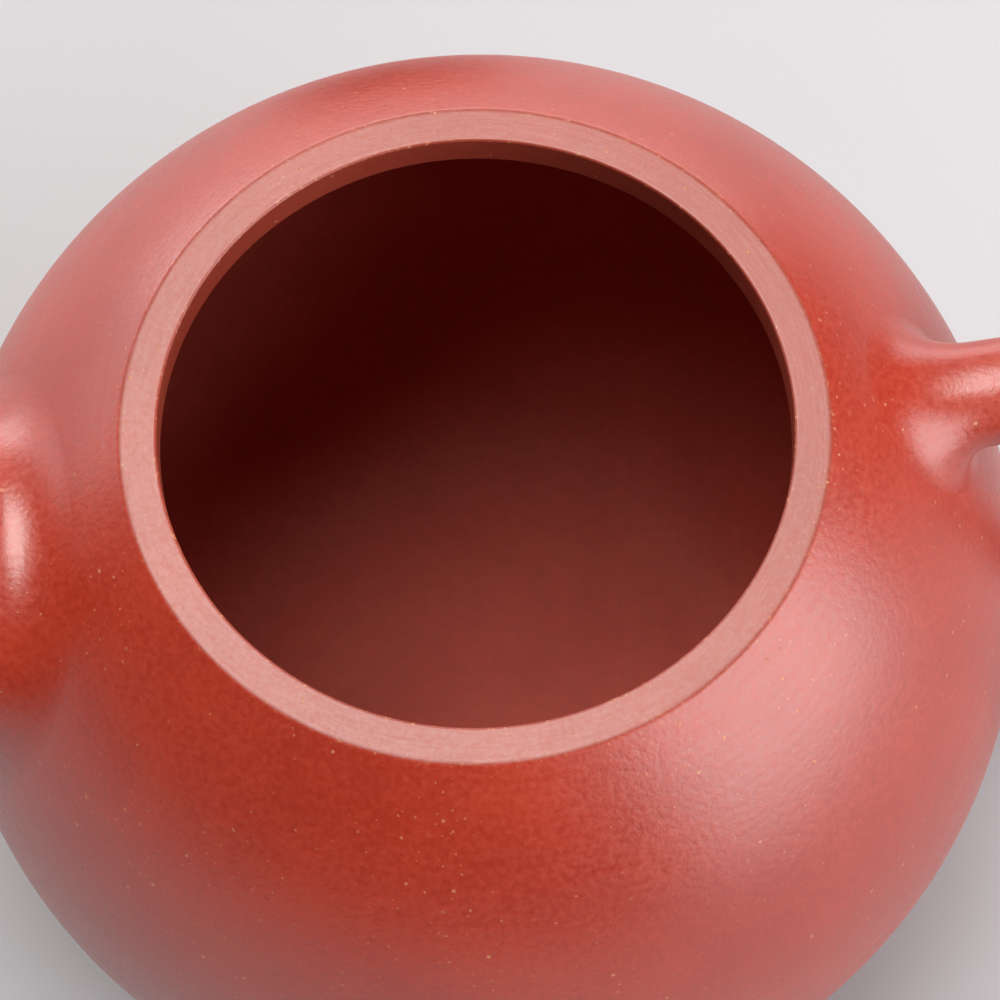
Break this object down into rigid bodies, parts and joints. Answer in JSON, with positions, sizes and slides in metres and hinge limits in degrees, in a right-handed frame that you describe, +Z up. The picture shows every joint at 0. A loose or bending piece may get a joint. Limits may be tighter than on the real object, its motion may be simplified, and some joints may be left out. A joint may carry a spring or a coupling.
{
  "type": "clay teapot",
  "caption": "Small round red clay teapot with a cut mouth, a short spout, an ear handle and a loose lid with a ball knob.",
  "frame": {"origin": "centre of the flat base, on the table", "axes": "+Z up along the pot's axis, +X towards the handle, -X towards the spout, the lid lies on the +Y side"},
  "size_m": [0.1235, 0.1695, 0.0615],
  "materials": {
    "red_clay": "burnished, fired without glaze, soft semi-gloss with fine tan grains",
    "red_clay_cut": "cut and trimmed faces, smooth and matt, with fine turning lines",
    "red_clay_inside": "scraped inner face, matt"
  },
  "bodies": {
    "pot": {"base_disc": "red_clay", "base_seam_fillet": "red_clay_inside", "body_wall": "red_clay", "shoulder_slab": "red_clay", "mouth_ring": "red_clay_cut", "strainer_disc": "red_clay_inside", "spout_root": "red_clay", "spout_tube": "red_clay", "handle_strap": "red_clay", "handle_upper_root": "red_clay", "handle_lower_root": "red_clay"},
    "lid": {"lid_dome": "red_clay", "lid_plate": "red_clay_cut", "lid_collar": "red_clay_cut", "lid_knob": "red_clay", "knob_root": "red_clay"}
  },
  "joints": [
    {"name": "lid_turn", "type": "hinge", "parent": "pot", "child": "lid", "pos_m": [0, 0.06427, 0.05989], "axis": [1, 0, 0], "range_deg": [0, 221.92]}
  ]
}
